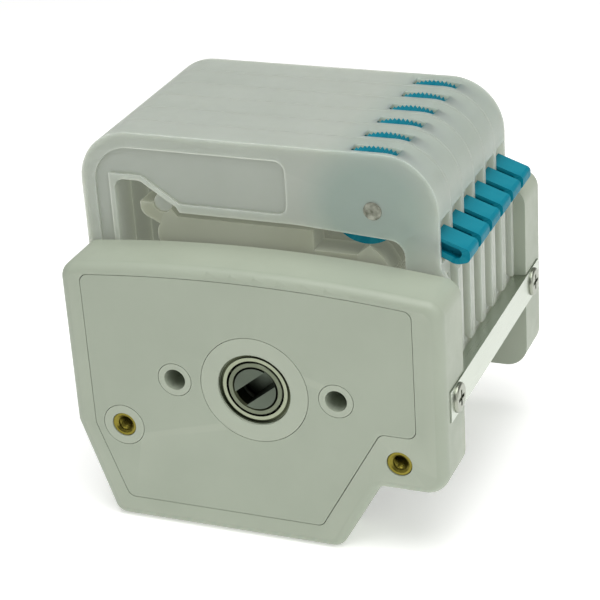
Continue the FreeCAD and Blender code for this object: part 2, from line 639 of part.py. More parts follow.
def buildStrip(side):
    """Stainless angle joining the plates: a web let into their sides and a flange for the cartridges."""
    label = "side_strip_" + side.lower()
    edge = dim("plate" + side)
    web = "%s - Dims.stripSink" % edge
    reach = "%s - Dims.flangeInner%s" % (web, side)
    start = web if side == "Right" else "-(%s) - Dims.stripThick" % web
    flangeStart = dim("flangeInner" + side) if side == "Right" else "-(%s)" % web
    plate = box(label + "_web", "Dims.stripThick", "%s - 2 * Dims.stripEnd" % REAR_FACE, "2 * Dims.stripHalf",
                (start, "Dims.stripEnd", "-Dims.stripHalf"))
    flange = box(label + "_flange", reach, "%s - Dims.plateThick - 2 * Dims.flangeEndGap" % REAR_INNER,
                 "Dims.stripThick", (flangeStart, "Dims.plateThick + Dims.flangeEndGap",
                                     "Dims.flangeTop - Dims.stripThick"))
    holes = []
    for end, y in (("a", "Dims.stripScrewInset"), ("b", "%s - Dims.stripScrewInset" % REAR_FACE)):
        hole = rod(label + "_hole_" + end, "Dims.stripShank", "3 * Dims.stripThick", (None, None), y)
        hole.Placement.Rotation = FreeCAD.Rotation(FreeCAD.Vector(0, 1, 0), 90)
        hole.setExpression("Placement.Base.x", "%s - Dims.stripThick" % start)
        holes.append(hole)
    angle = join(label + "_blank", [plate, flange])
    subtract(label, angle, join(label + "_holes", holes))


def buildStripScrews():
    """Four low cross-recess screws with domed heads."""
    screws = []
    for side, sign in (("Right", 1), ("Left", -1)):
        face = "%s - Dims.stripSink + Dims.stripThick" % dim("plate" + side)
        for end, y in (("a", "Dims.stripScrewInset"), ("b", "%s - Dims.stripScrewInset" % REAR_FACE)):
            name = "strip_screw_%s_%s" % (side.lower(), end)
            screws.append(stripScrew(name, face, sign, y))
    group("strip_screws", screws)


def stripScrew(name, face, sign, y):
    head = doc.addObject("Part::Cylinder", name + "_head")
    head.setExpression("Radius", "Dims.capRadius")
    head.setExpression("Height", "Dims.capTall")
    stem = doc.addObject("Part::Cylinder", name + "_stem")
    stem.setExpression("Radius", "Dims.stripShank")
    stem.setExpression("Height", "Dims.stripShankLength")
    stem.setExpression("Placement.Base.z", "-Dims.stripShankLength")
    dome = doc.addObject("Part::Fillet", name + "_dome")
    dome.Base = head
    doc.recompute()
    top = [i for i, e in enumerate(head.Shape.Edges, start=1)
           if e.BoundBox.ZMin > SIZES["capTall"] - 0.01]
    dome.Edges = [(top[0], SIZES["capRound"], SIZES["capRound"])]
    cross = []
    for k, (wide, deep) in enumerate((("2 * Dims.crossSpan", "Dims.crossWidth"),
                                      ("Dims.crossWidth", "2 * Dims.crossSpan"))):
        cross.append(box("%s_cross_%d" % (name, k), wide, deep, "2 * Dims.crossDeep",
                         ("-(%s) / 2" % wide, "-(%s) / 2" % deep, "Dims.capTall - Dims.crossDeep")))
    screw = subtract(name, join(name + "_blank", [dome, stem]), join(name + "_cross", cross))
    screw.Placement.Rotation = FreeCAD.Rotation(FreeCAD.Vector(0, 1, 0), 90 * sign)
    screw.setExpression("Placement.Base.x", face if sign > 0 else "-(%s)" % face)
    screw.setExpression("Placement.Base.y", y)
    return screw


# Cartridges ----------------------------------------------------------------

def cartridgeStart(k):
    return "Dims.plateThick + Dims.endGap + %d * Dims.pitch" % k


def movedBody(label, k):
    body = newBody(label)
    body.setExpression("Placement.Base.y", cartridgeStart(k))
    return body


def buildCartridgeFrame(k):
    """Moulded cartridge: bridge, two legs, recessed web, lever slot, tube slots and the shoe's lug."""
    label = "cartridge_%d_frame" % (k + 1)
    body = movedBody(label, k)
    profile = frontSketch(body, label + "Profile")
    outline(profile, [("-cartLeft", "footLevel"), ("-cartLeft", "cartTop"), ("cartRight", "cartTop"),
                      ("cartRight", "ribFootLevel"), ("footOuter", "footLevel"), ("footOuter", "hookTop"),
                      ("hookTip", "hookTop"), ("hookTip", "-footBottom"), ("footInner", "-footBottom"),
                      ("legRightInner", "footLevel"), ("legRightInner", "archRight"),
                      ("archBreak", "archTop"), ("-archLeft", "archTop"), ("-slopeEndX", "slopeEndZ"),
                      ("-slopeStart", "windowTop"), ("-legLeftInner", "windowTop"),
                      ("-legLeftInner", "footLevel"), ("-footLeftInner", "-footBottom"),
                      ("-footLeftOuter", "-footBottom"), ("-footLeftOuter", "footLevel")],
            {1: "shoulderRound", 2: "shoulderRound", 10: "archRound", 14: "windowRound", 15: "windowRound"})
    pad(body, profile, "Dims.cartThick")
    addRibs(body, label)
    addLug(body, label)
    cutWebs(body, label)
    cutLeverSlot(body, label)
    cutTubeSlots(body, label)
    cutPinHoles(body, label)
    return body


def addRibs(body, label):
    """Two upright ribs on the outside of the right leg, standing on the strip's flange."""
    for end, depth in (("Front", None), ("Back", "Dims.cartThick - Dims.ribThick")):
        ribs = frontSketch(body, label + "Rib" + end, depth)
        outline(ribs, [("legRightInner", "footLevel"), ("legRightInner", "ribTop"), ("cartRight", "ribTop"),
                       ("ribOuter", "ribShoulder"), ("ribOuter", "footLevel")])
        pad(body, ribs, "Dims.ribThick")


def addLug(body, label):
    """Round lug under the bridge that the shoe hooks on."""
    web = frontSketch(body, label + "LugWeb", "Dims.lugFront")
    outline(web, [("-lugWebLeft", "lugZ"), ("-lugWebLeft", "lugWebTop"), ("-lugWebRight", "lugWebTop"),
                  ("-lugWebRight", "lugZ")])
    pad(body, web, "Dims.lugThick")
    lug = frontSketch(body, label + "Lug", "Dims.lugFront")
    ring(lug, ("-lugX", "lugZ"), "lugRadius")
    pad(body, lug, "Dims.lugThick")


def cutWebs(body, label):
    """Recessed panel of the bridge and left leg, front and back."""
    for end, depth in (("Front", None), ("Back", "Dims.cartThick - Dims.recessDeep")):
        web = frontSketch(body, label + "Web" + end, depth)
        outline(web, [("-recessLeft", "footLevel"), ("-recessLeft", "recessTop"),
                      ("recessRight", "recessTop"), ("recessRight", "recessBottom"),
                      ("-rimSlopeEnd", "recessBottom"),
                      ("-rimSlope", "rimTop"), ("-rimInner", "rimTop"), ("-rimInner", "footLevel")],
                {1: "recessRound", 2: "recessCorner", 3: "recessCorner"})
        cut(body, web, "Dims.recessDeep")


def cutLeverSlot(body, label):
    """Round well open at the top above the ratchet wheel, the arm's slot, and a pocket for the tab's root."""
    well = frontSketch(body, label + "Well", "Dims.slotFront")
    ring(well, ("pivotX", "pivotZ"), "wellRadius")
    cut(body, well, "Dims.slotBack - Dims.slotFront")
    side = frontSketch(body, label + "SlotSide", "Dims.slotFront")
    outline(side, [("pivotX", "slotFloor"), ("pivotX", "slotRoof"), ("slotReach", "slotRoof"),
                   ("slotReach", "slotFloor")])
    cut(body, side, "Dims.slotBack - Dims.slotFront")
    pocket = frontSketch(body, label + "TabPocket", "Dims.pocketFront")
    outline(pocket, [("pocketInner", "pocketLow"), ("pocketInner", "slotRoof"), ("slotReach", "slotRoof"),
                     ("slotReach", "pocketLow")])
    cut(body, pocket, "Dims.pocketWide")


def cutTubeSlots(body, label):
    """Slots through both legs for the tube, and a shallow groove above the right one."""
    tubes = frontSketch(body, label + "TubeSlots", "Dims.tubeSlotFront")
    outline(tubes, [("-slotReach", "tubeSlotLow"), ("-slotReach", "tubeSlotTop"),
                    ("-footInner", "tubeSlotTop"), ("-footInner", "tubeSlotLow")])
    outline(tubes, [("legRightClear", "tubeSlotLow"), ("legRightClear", "tubeSlotTop"),
                    ("slotReach", "tubeSlotTop"), ("slotReach", "tubeSlotLow")])
    cut(body, tubes, "Dims.tubeSlotWide")
    groove = frontSketch(body, label + "Groove", "Dims.tubeSlotFront")
    outline(groove, [("grooveFloor", "tubeSlotTop"), ("grooveFloor", "grooveTop"), ("slotReach", "grooveTop"),
                     ("slotReach", "tubeSlotTop")])
    cut(body, groove, "Dims.tubeSlotWide")


def cutPinHoles(body, label):
    """Counterbored hole for the pivot pin."""
    shank = frontSketch(body, label + "PinHole")
    ring(shank, ("pivotX", "pivotZ"), "pinRadius")
    cut(body, shank, "Dims.pinLength")
    head = frontSketch(body, label + "PinSeat")
    ring(head, ("pivotX", "pivotZ"), "pinSeat")
    cut(body, head, "Dims.pinHeadTall")


def buildPin(k):
    """Steel pivot pin, its round head flush with the cartridge's front."""
    start = cartridgeStart(k)
    name = "cartridge_%d_pin" % (k + 1)
    spot = ("pivotX", "pivotZ")
    head = rod(name + "_head", "Dims.pinHead", "Dims.pinHeadTall", spot, start)
    stem = rod(name + "_stem", "Dims.pinRadius", "Dims.pinLength", spot, start)
    join(name, [head, stem])


def buildLever(k):
    """Lever: ratchet wheel, eccentric cam, arm and wide finger tab with a groove in its side."""
    label = "cartridge_%d_lever" % (k + 1)
    body = movedBody(label, k)
    wheel = frontSketch(body, label + "Wheel", "Dims.wheelFront")
    wheelOutline(wheel)
    pad(body, wheel, "Dims.wheelThick")
    camSketch = frontSketch(body, label + "Cam", "Dims.wheelFront")
    ring(camSketch, ("camX", "pivotZ"), "camRadius")
    pad(body, camSketch, "Dims.wheelThick")
    arm = frontSketch(body, label + "Arm", "Dims.wheelFront")
    outline(arm, [("armInner", "armLow"), ("armInner", "armTop"), ("tabTipX", "tabTipTop"),
                  ("tabTipX", "tabTipLow"), ("tabHeel", "tabHeelZ")],
            {2: "tabRound", 3: "tabRound", 4: "tabHeelRound"})
    pad(body, arm, "Dims.wheelThick")
    tab = frontSketch(body, label + "Tab", "Dims.tabFront")
    outline(tab, [("tabRoot", "tabRootLow"), ("tabRoot", "tabRootTop"), ("tabTipX", "tabTipTop"),
                  ("tabTipX", "tabTipLow"), ("tabHeel", "tabHeelZ")],
            {2: "tabRound", 3: "tabRound", 4: "tabHeelRound"})
    pad(body, tab, "Dims.tabWide")
    groove = frontSketch(body, label + "TabGroove", "Dims.tabFront")
    outline(groove, [("grooveFrom", "grooveFromLow"), ("grooveFrom", "grooveFromTop"),
                     ("grooveTo", "grooveToTop"), ("grooveTo", "grooveToLow")])
    cut(body, groove, "Dims.tabGrooveDeep")
    end = frontSketch(body, label + "TabGrooveEnd", "Dims.tabFront")
    ring(end, ("grooveTo", "grooveToZ"), "grooveHalf")
    cut(body, end, "Dims.tabGrooveDeep")
    bore = frontSketch(body, label + "Bore")
    ring(bore, ("pivotX", "pivotZ"), "wheelBore")
    cut(body, bore, "Dims.cartThick")
    return body


def wheelOutline(sketch):
    """Toothed sector round the pivot, closed through the pivot."""
    centre = point(("pivotX", "pivotZ"))
    tip = SIZES["wheelRadius"]
    root = tip - SIZES["toothDeep"]
    step = SIZES["toothPitch"]
    count = int((SIZES["wheelEnd"] - SIZES["wheelStart"]) / step)
    points = [centre]
    for i in range(count):
        angle = SIZES["wheelStart"] + i * step
        points.append(centre + polar(root, angle))
        points.append(centre + polar(tip, angle + step / 2))
    points.append(centre + polar(root, SIZES["wheelStart"] + count * step))
    for a, b in zip(points, points[1:] + points[:1]):
        sketch.addGeometry(Part.LineSegment(a, b))


def polar(radius, degrees):
    angle = math.radians(degrees)
    return FreeCAD.Vector(radius * math.cos(angle), radius * math.sin(angle), 0)


def buildShoe(k):
    """Pressure shoe: a hook round the cartridge's lug, a deck, the cam's ridge and the track underneath."""
    label = "cartridge_%d_shoe" % (k + 1)
    body = movedBody(label, k)
    block = frontSketch(body, label + "Block", "Dims.shoeFront")
    outline(block, [("-shoeLowX", "shoeLowZ"), ("-shoeLeftX", "shoeLeftZ"), ("-shoeTopLeft", "shoeTop"),
                    ("shoeTopRight", "shoeTop"), ("shoeTopRight", "shoeDeck"), ("ridgeLeft", "shoeDeck"),
                    ("ridgeX", "ridgeTop"), ("ridgeRight", "shoeDeck"), ("shoeRight", "shoeRightZ"),
                    ("shoeLowX", "shoeLowZ"), ("shoeArcEnd", "shoeLowZ"), ("-shoeArcEnd", "shoeLowZ")],
            {1: "heelRound"})
    pad(body, block, "Dims.shoeThick")
    hook = frontSketch(body, label + "Hook", "Dims.shoeFront")
    outline(hook, [("-hookLeft", "lugZ"), ("-hookLeft", "hookMid"), ("-lugX", "hookLow"),
                   ("-shoeTopLeft", "hookLow"), ("-shoeTopLeft", "shoeTop"), ("-hookNeck", "lugZ")],
            {1: "hookRound", 2: "hookRound"})
    pad(body, hook, "Dims.shoeThick")
    eye = frontSketch(body, label + "Eye", "Dims.shoeFront")
    ring(eye, ("-lugX", "lugZ"), "hookInner")
    cut(body, eye, "Dims.shoeThick")
    track = frontSketch(body, label + "Track", "Dims.shoeFront")
    ring(track, ("shoeArcX", "shoeArcLift"), "shoeArc")
    cut(body, track, "Dims.shoeThick")
    return body


def addCartridgeSizes():
    """Cartridge sizes that follow from others."""
    SIZES["ribFootLevel"] = SIZES["footLevel"] + 1.0
    SIZES["ribShoulder"] = SIZES["ribTop"] - 3.0
    SIZES["lugWebLeft"] = SIZES["lugX"] + SIZES["lugWeb"]
    SIZES["lugWebRight"] = SIZES["lugX"] - SIZES["lugWeb"]
    SIZES["tubeSlotLow"] = SIZES["footLevel"] + 1.5
    SIZES["legRightClear"] = SIZES["legRightInner"] - 1.0
    SIZES["grooveFloor"] = SIZES["cartRight"] - SIZES["grooveDeep"]
    SIZES["pinSeat"] = SIZES["pinHead"] + 0.05
    SIZES["camX"] = SIZES["pivotX"] - SIZES["camOffset"]
    for end in ("From", "To"):
        SIZES["groove%sTop" % end] = SIZES["groove%sZ" % end] + SIZES["grooveHalf"]
        SIZES["groove%sLow" % end] = SIZES["groove%sZ" % end] - SIZES["grooveHalf"]
    SIZES["ridgeLeft"] = SIZES["ridgeX"] - SIZES["ridgeFoot"]
    SIZES["ridgeRight"] = SIZES["ridgeX"] + SIZES["ridgeFoot"]
    SIZES["hookLeft"] = SIZES["lugX"] + SIZES["hookOuter"]
    SIZES["hookLow"] = SIZES["lugZ"] - SIZES["hookOuter"]
    SIZES["hookMid"] = SIZES["lugZ"] - SIZES["hookOuter"] / 2
    SIZES["hookNeck"] = SIZES["lugX"] - SIZES["hookInner"] / 2


# Build and export ------------------------------------------------------------

def build():
    addWorkedSizes()
    addCartridgeSizes()
    fillSheet()
    doc.recompute()
    buildPlate("front_plate", False)
    buildPlate("rear_plate", True)
    buildPanel("front_panel", False)
    buildPanel("rear_panel", True)
    buildBearing("front", "Dims.bearingSink")
    buildBearing("rear", "%s - Dims.bearingSink - Dims.bearingWidth" % REAR_FACE)
    buildShaft()
    buildRotor()
    buildTieRods()
    buildInserts()
    buildStrip("Right")
    buildStrip("Left")
    buildStripScrews()
    for k in range(CARTRIDGES):
        buildCartridgeFrame(k)
        buildPin(k)
        buildLever(k)
        buildShoe(k)
    doc.recompute()


def nodeNames():
    names = ["front_plate", "rear_plate", "front_panel", "rear_panel", "drive_shaft", "rotor_disc_front",
             "rotor_disc_rear", "roller_axles", "tie_rod_left", "tie_rod_right", "tie_rod_low_left",
             "tie_rod_low_right", "tie_rod_screws", "threaded_inserts", "side_strip_right",
             "side_strip_left", "strip_screws"]
    for side in ("front", "rear"):
        for part in ("outer_ring", "inner_ring", "balls", "shields"):
            names.append("%s_bearing_%s" % (side, part))
    names += ["roller_%02d" % (i + 1) for i in range(ROLLERS)]
    for k in range(CARTRIDGES):
        names += ["cartridge_%d_%s" % (k + 1, part) for part in ("frame", "pin", "lever", "shoe")]
    return names


def export():
    """Check every object, then write one STEP file per sub-part."""
    for item in doc.Objects:
        if "Invalid" in item.State or "Error" in item.State:
            raise RuntimeError("%s: %s" % (item.Label, item.State))
    os.makedirs("parts", exist_ok=True)
    for name in nodeNames():
        shape = doc.getObjectsByLabel(name)[0].Shape
        if shape.isNull() or not shape.isValid() or shape.Volume <= 0:
            raise RuntimeError(name + ": bad shape")
        shape.exportStep("parts/%s.step" % name)


build()
export()
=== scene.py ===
import bpy
import bmesh
import json
import math
import numpy as np
from mathutils import Matrix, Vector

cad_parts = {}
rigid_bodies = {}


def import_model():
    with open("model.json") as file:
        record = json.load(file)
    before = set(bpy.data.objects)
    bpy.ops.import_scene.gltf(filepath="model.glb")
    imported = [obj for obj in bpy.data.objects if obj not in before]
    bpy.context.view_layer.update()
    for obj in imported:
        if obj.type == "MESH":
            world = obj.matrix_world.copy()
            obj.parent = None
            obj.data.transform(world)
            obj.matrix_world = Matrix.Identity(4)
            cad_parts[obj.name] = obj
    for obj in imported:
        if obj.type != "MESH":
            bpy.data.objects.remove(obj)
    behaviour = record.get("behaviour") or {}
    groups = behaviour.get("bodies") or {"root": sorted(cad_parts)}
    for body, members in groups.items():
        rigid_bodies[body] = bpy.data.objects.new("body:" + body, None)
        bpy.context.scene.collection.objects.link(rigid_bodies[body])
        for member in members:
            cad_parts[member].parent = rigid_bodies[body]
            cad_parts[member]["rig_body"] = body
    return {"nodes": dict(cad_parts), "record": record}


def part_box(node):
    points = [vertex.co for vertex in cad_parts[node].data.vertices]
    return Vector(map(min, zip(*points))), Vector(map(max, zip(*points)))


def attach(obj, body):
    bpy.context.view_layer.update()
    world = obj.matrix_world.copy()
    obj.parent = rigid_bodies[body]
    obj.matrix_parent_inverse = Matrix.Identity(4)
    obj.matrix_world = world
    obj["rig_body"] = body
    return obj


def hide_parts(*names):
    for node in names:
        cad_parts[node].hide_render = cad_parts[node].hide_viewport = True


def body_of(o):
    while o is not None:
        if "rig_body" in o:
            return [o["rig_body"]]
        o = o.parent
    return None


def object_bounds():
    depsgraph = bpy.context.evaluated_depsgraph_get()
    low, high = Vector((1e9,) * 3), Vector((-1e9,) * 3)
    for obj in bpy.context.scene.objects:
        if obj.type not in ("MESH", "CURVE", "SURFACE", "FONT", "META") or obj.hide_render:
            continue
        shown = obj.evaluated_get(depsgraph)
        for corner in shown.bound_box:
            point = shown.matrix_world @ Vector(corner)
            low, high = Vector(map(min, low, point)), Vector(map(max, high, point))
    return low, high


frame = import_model()
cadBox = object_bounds()
nodes = frame["nodes"]
slotOf = {part["node"]: part["material_slot"] for part in frame["record"]["subparts"]}
mm = 0.001
pinLow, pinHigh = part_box("cartridge_1_pin")
leverAxis = ((pinLow[0] + pinHigh[0]) / 2, (pinLow[2] + pinHigh[2]) / 2)
cartridgeCount = 6
rollerCount = 10


# materials: every pattern is worked out from Object coordinates

def newMaterial(name):
    material = bpy.data.materials.new(name)
    material.use_nodes = True
    tree = material.node_tree
    shader = tree.nodes["Principled BSDF"]
    where = tree.nodes.new("ShaderNodeTexCoord").outputs["Object"]
    return material, tree, shader, where


def stretched(tree, where, scale):
    mapping = tree.nodes.new("ShaderNodeMapping")
    mapping.inputs["Scale"].default_value = scale
    tree.links.new(where, mapping.inputs["Vector"])
    return mapping.outputs["Vector"]


def noise(tree, where, scale, detail=3.0, rough=0.5):
    texture = tree.nodes.new("ShaderNodeTexNoise")
    texture.inputs["Scale"].default_value = scale
    texture.inputs["Detail"].default_value = detail
    texture.inputs["Roughness"].default_value = rough
    tree.links.new(where, texture.inputs["Vector"])
    return texture.outputs["Fac"]


def ranged(tree, value, low, high, fromLow=0.3, fromHigh=0.7):
    node = tree.nodes.new("ShaderNodeMapRange")
    node.inputs["From Min"].default_value = fromLow
    node.inputs["From Max"].default_value = fromHigh
    node.inputs["To Min"].default_value = low
    node.inputs["To Max"].default_value = high
    tree.links.new(value, node.inputs["Value"])
    return node.outputs["Result"]


def mixed(tree, factor, first, second):
    node = tree.nodes.new("ShaderNodeMix")
    node.data_type = "RGBA"
    tree.links.new(factor, node.inputs[0])
    for socket, colour in ((node.inputs[6], first), (node.inputs[7], second)):
        if isinstance(colour, tuple):
            socket.default_value = (*colour, 1.0)
        else:
            tree.links.new(colour, socket)
    return node.outputs[2]


def bumped(tree, shader, height, strength, distance):
    node = tree.nodes.new("ShaderNodeBump")
    node.inputs["Strength"].default_value = strength
    node.inputs["Distance"].default_value = distance
    tree.links.new(height, node.inputs["Height"])
    tree.links.new(node.outputs["Normal"], shader.inputs["Normal"])


edgeFrom, edgeTo = 0.515, 0.58  # pointiness where an edge starts to pale, and where it is palest
smearsPerPatch = 5


def wornEdges(tree, colour, look):
    # handled edges turn a little paler
    pointy = tree.nodes.new("ShaderNodeNewGeometry").outputs["Pointiness"]
    amount = ranged(tree, pointy, 0.0, look["wear"], edgeFrom, edgeTo)
    return mixed(tree, amount, colour, look["worn"])


def distanceFrom(tree, where, x, z):
    # distance from an axis along Y through (x, z)
    mapping = tree.nodes.new("ShaderNodeMapping")
    mapping.inputs["Location"].default_value = (-x, 0.0, -z)
    mapping.inputs["Scale"].default_value = (1.0, 0.0, 1.0)
    tree.links.new(where, mapping.inputs["Vector"])
    length = tree.nodes.new("ShaderNodeVectorMath")
    length.operation = "LENGTH"
    tree.links.new(mapping.outputs["Vector"], length.inputs[0])
    return length.outputs["Value"]


def paintedWheelShade(tree, where, colour, paintedShade):
    # painted shade: a soft, darker bluish round patch painted into the wall's colour round the lever's
    # axis, where the wheel behind the thin wall would show through
    near = distanceFrom(tree, where, *leverAxis)
    amount = ranged(tree, near, paintedShade["strength"], 0.0, paintedShade["full"], paintedShade["gone"])
    return mixed(tree, amount, colour, paintedShade["shadeColour"])


def mouldedPlastic(name, look):
    material, tree, shader, where = newMaterial(name)
    patches = ranged(tree, noise(tree, where, look["patch"], 4.0), 0.0, 1.0)
    colour = wornEdges(tree, mixed(tree, patches, look["dark"], look["light"]), look)
    # painted shade round the lever's axis, where the wheel lies behind the wall
    if "paintedShade" in look:
        colour = paintedWheelShade(tree, where, colour, look["paintedShade"])
    tree.links.new(colour, shader.inputs["Base Color"])
    smears = noise(tree, where, look["patch"] * smearsPerPatch, 5.0, 0.6)
    tree.links.new(ranged(tree, smears, *look["rough"]), shader.inputs["Roughness"])
    bumped(tree, shader, noise(tree, where, look["grain"], 2.0), look["relief"], look["depth"])
    shader.inputs["Specular IOR Level"].default_value = look["shine"]
    shader.inputs["Subsurface Weight"].default_value = look["glow"]
    shader.inputs["Subsurface Radius"].default_value = look["glowReach"]
    shader.inputs["Subsurface Scale"].default_value = 1.0
    shader.inputs["Transmission Weight"].default_value = look["clear"]
    shader.inputs["IOR"].default_value = look["ior"]
    if look["paintedGlow"]:  # painted light: a faint glow standing in for light that comes through the milky plastic from all round
        shader.inputs["Emission Color"].default_value = (*look["paintedGlow"][0], 1.0)
        shader.inputs["Emission Strength"].default_value = look["paintedGlow"][1]
    return material


def brushedMetal(name, look):
    material, tree, shader, where = newMaterial(name)
    strokes = noise(tree, stretched(tree, where, look["strokes"]), 1.0, 4.0, 0.6)
    stains = ranged(tree, noise(tree, where, look["patch"], 3.0), 0.0, 1.0)
    tree.links.new(mixed(tree, stains, look["dark"], look["light"]), shader.inputs["Base Color"])
    tree.links.new(ranged(tree, strokes, *look["rough"]), shader.inputs["Roughness"])
    bumped(tree, shader, strokes, look["relief"], look["depth"])
    shader.inputs["Metallic"].default_value = 1.0
    return material


grooveSpan = 0.0125  # the outermost radius that the groove mask reaches, in metres
grooveSoft = 0.12  # how far each side of a groove fades, in millimetres


def grooveMask(tree, radius, grooves):
    # 1 inside any of the grooves, each given by its two radii, with soft sides
    ramp = tree.nodes.new("ShaderNodeValToRGB")
    tree.links.new(ranged(tree, radius, 0.0, 1.0, 0.0, grooveSpan), ramp.inputs["Fac"])
    stops = [(0.0, 0.0)]
    for near, far in grooves:
        stops += [(near - grooveSoft, 0.0), (near, 1.0), (far, 1.0), (far + grooveSoft, 0.0)]
    ramp.color_ramp.elements[1].position = 1.0
    ramp.color_ramp.elements[1].color = (0.0, 0.0, 0.0, 1.0)
    for place, level in stops[1:]:
        stop = ramp.color_ramp.elements.new(place * mm / grooveSpan)
        stop.color = (level, level, level, 1.0)
    return ramp.outputs["Color"]


def turnedMetal(name, look):
    # fine tool marks as rings round the shaft's axis, and painted shade darkening the grooves and gaps
    # between the rings
    material, tree, shader, where = newMaterial(name)
    rings = tree.nodes.new("ShaderNodeTexWave")
    rings.wave_type = "RINGS"
    rings.rings_direction = "Y"
    rings.inputs["Scale"].default_value = look["rings"]
    rings.inputs["Distortion"].default_value = look["wobble"]
    tree.links.new(where, rings.inputs["Vector"])
    stains = ranged(tree, noise(tree, where, look["patch"], 4.0), 0.0, 1.0)
    colour = mixed(tree, stains, look["dark"], look["light"])
    if look["grooves"]:
        mask = grooveMask(tree, distanceFrom(tree, where, 0.0, 0.0), look["grooves"])
        # painted shade: the groove mask darkens the colour
        colour = mixed(tree, mask, colour, look["paintedGrooveShade"])
    tree.links.new(colour, shader.inputs["Base Color"])
    tree.links.new(ranged(tree, stains, *look["rough"], 0.0, 1.0), shader.inputs["Roughness"])
    bumped(tree, shader, rings.outputs["Fac"], look["relief"], look["depth"])
    shader.inputs["Metallic"].default_value = 1.0
    return material


housingLook = {"dark": (0.328, 0.370, 0.293), "light": (0.354, 0.397, 0.316), "worn": (0.44, 0.48, 0.39),
               "wear": 0.30, "patch": 45.0, "rough": (0.36, 0.50), "grain": 2600.0, "relief": 0.10,
               "depth": 0.00006, "shine": 0.40, "glow": 0.0, "glowReach": (0.001, 0.001, 0.001),
               "clear": 0.0, "ior": 1.50, "paintedGlow": None}
panelLook = dict(housingLook, dark=(0.322, 0.364, 0.288), light=(0.344, 0.387, 0.308), grain=3200.0,
                 relief=0.14, rough=(0.42, 0.56))
milkyLook = {"dark": (0.290, 0.322, 0.295), "light": (0.315, 0.347, 0.320), "worn": (0.40, 0.43, 0.40),
             "wear": 0.15, "patch": 60.0, "rough": (0.34, 0.46), "grain": 1800.0, "relief": 0.04,
             "depth": 0.00005, "shine": 0.35, "glow": 1.0, "glowReach": (0.0075, 0.0075, 0.0065),
             # painted light: the milky plastic glows faintly
             "clear": 0.12, "ior": 1.42, "paintedGlow": ((0.88, 0.92, 0.74), 0.125)}
# the cartridge walls carry a painted shade patch round the lever's axis
cartridgeLook = dict(milkyLook, paintedShade={"strength": 0.62, "full": 0.011, "gone": 0.021,
                                       "shadeColour": (0.135, 0.235, 0.215)})
# painted shade: the shoe gets a darker, olive copy of the milky plastic, so it looks shaded under the
# cartridges
shadedShoeLook = dict(milkyLook, dark=(0.200, 0.213, 0.153), light=(0.226, 0.239, 0.175), glow=0.6, clear=0.0)
leverLook = {"dark": (0.0, 0.165, 0.238), "light": (0.0, 0.190, 0.268), "worn": (0.03, 0.30, 0.36),
             "wear": 0.30, "patch": 90.0, "rough": (0.40, 0.52), "grain": 1500.0, "relief": 0.03,
             "depth": 0.00003, "shine": 0.10, "glow": 0.0, "glowReach": (0.001, 0.001, 0.001),
             "clear": 0.0, "ior": 1.50, "paintedGlow": None}
stripLook = {"dark": (0.52, 0.56, 0.49), "light": (0.55, 0.59, 0.52), "strokes": (7000.0, 45.0, 7000.0),
             "patch": 50.0, "rough": (0.26, 0.36), "relief": 0.05, "depth": 0.00002}
steelLook = dict(stripLook, strokes=(2600.0, 2600.0, 2600.0), dark=(0.30, 0.32, 0.26),
                 light=(0.36, 0.38, 0.32))
alloyLook = dict(stripLook, strokes=(60.0, 2500.0, 60.0), dark=(0.24, 0.26, 0.23), light=(0.30, 0.32, 0.29),
                 rough=(0.34, 0.46))
shaftLook = dict(alloyLook, strokes=(2600.0, 60.0, 2600.0), dark=(0.080, 0.096, 0.074),
                 light=(0.110, 0.130, 0.102))
pinLook = dict(steelLook, strokes=(1200.0, 1200.0, 1200.0), patch=700.0, dark=(0.09, 0.095, 0.07),
               light=(0.30, 0.31, 0.26), relief=0.3, depth=0.00005, rough=(0.25, 0.45))
bearingLook = {"dark": (0.125, 0.145, 0.10), "light": (0.165, 0.185, 0.13), "patch": 160.0,
               "rough": (0.26, 0.38), "rings": 900.0, "wobble": 0.4, "relief": 0.06, "depth": 0.00003,
               # colour of the painted shade in the grooves
               "paintedGrooveShade": (0.045, 0.052, 0.030),
               "grooves": [(6.0, 6.5), (7.8, 8.25), (9.4, 9.95)]}
shieldLook = dict(bearingLook, dark=(0.27, 0.30, 0.21), light=(0.33, 0.36, 0.26), rough=(0.28, 0.4))
brassLook = dict(bearingLook, dark=(0.17, 0.145, 0.022), light=(0.23, 0.195, 0.036), rough=(0.24, 0.38),
                 relief=0.02, grooves=[])

finishes = {
    "housing": mouldedPlastic("ivoryHousing", housingLook),
    "panel": mouldedPlastic("ivoryPanel", panelLook),
    "cartridge": mouldedPlastic("milkyCartridge", cartridgeLook),
    "shoe": mouldedPlastic("shadedShoe", shadedShoeLook),
    "lever": mouldedPlastic("tealLever", leverLook),
    "strip": brushedMetal("brushedStrip", stripLook),
    "steel": brushedMetal("plainSteel", steelLook),
    "roller": brushedMetal("polishedRoller", dict(steelLook, rough=(0.12, 0.22))),
    "alloy": brushedMetal("turnedAlloy", alloyLook),
    "bearing": turnedMetal("groundBearing", bearingLook),
    "shield": turnedMetal("pressedShield", shieldLook),
    "brass": turnedMetal("turnedBrass", brassLook),
}
ownFinish = {"drive_shaft": brushedMetal("darkShaft", shaftLook)}
pinFinish = brushedMetal("stampedPin", pinLook)
# painted shade: the bearings' outer rings get a darker copy of the bearing steel, so they look shaded
shadedRingFinish = turnedMetal("shadedSeatRing", dict(bearingLook, dark=(0.085, 0.098, 0.066),
                                          light=(0.115, 0.130, 0.090)))
for side in ("front", "rear"):
    ownFinish[side + "_bearing_outer_ring"] = shadedRingFinish
for number in range(1, cartridgeCount + 1):
    ownFinish["cartridge_%d_pin" % number] = pinFinish
print("materials:", len(finishes) + len(ownFinish))


def finishOf(node):
    return ownFinish.get(node, finishes[slotOf[node]])


# pieces made from the CAD surfaces, with their edges rounded

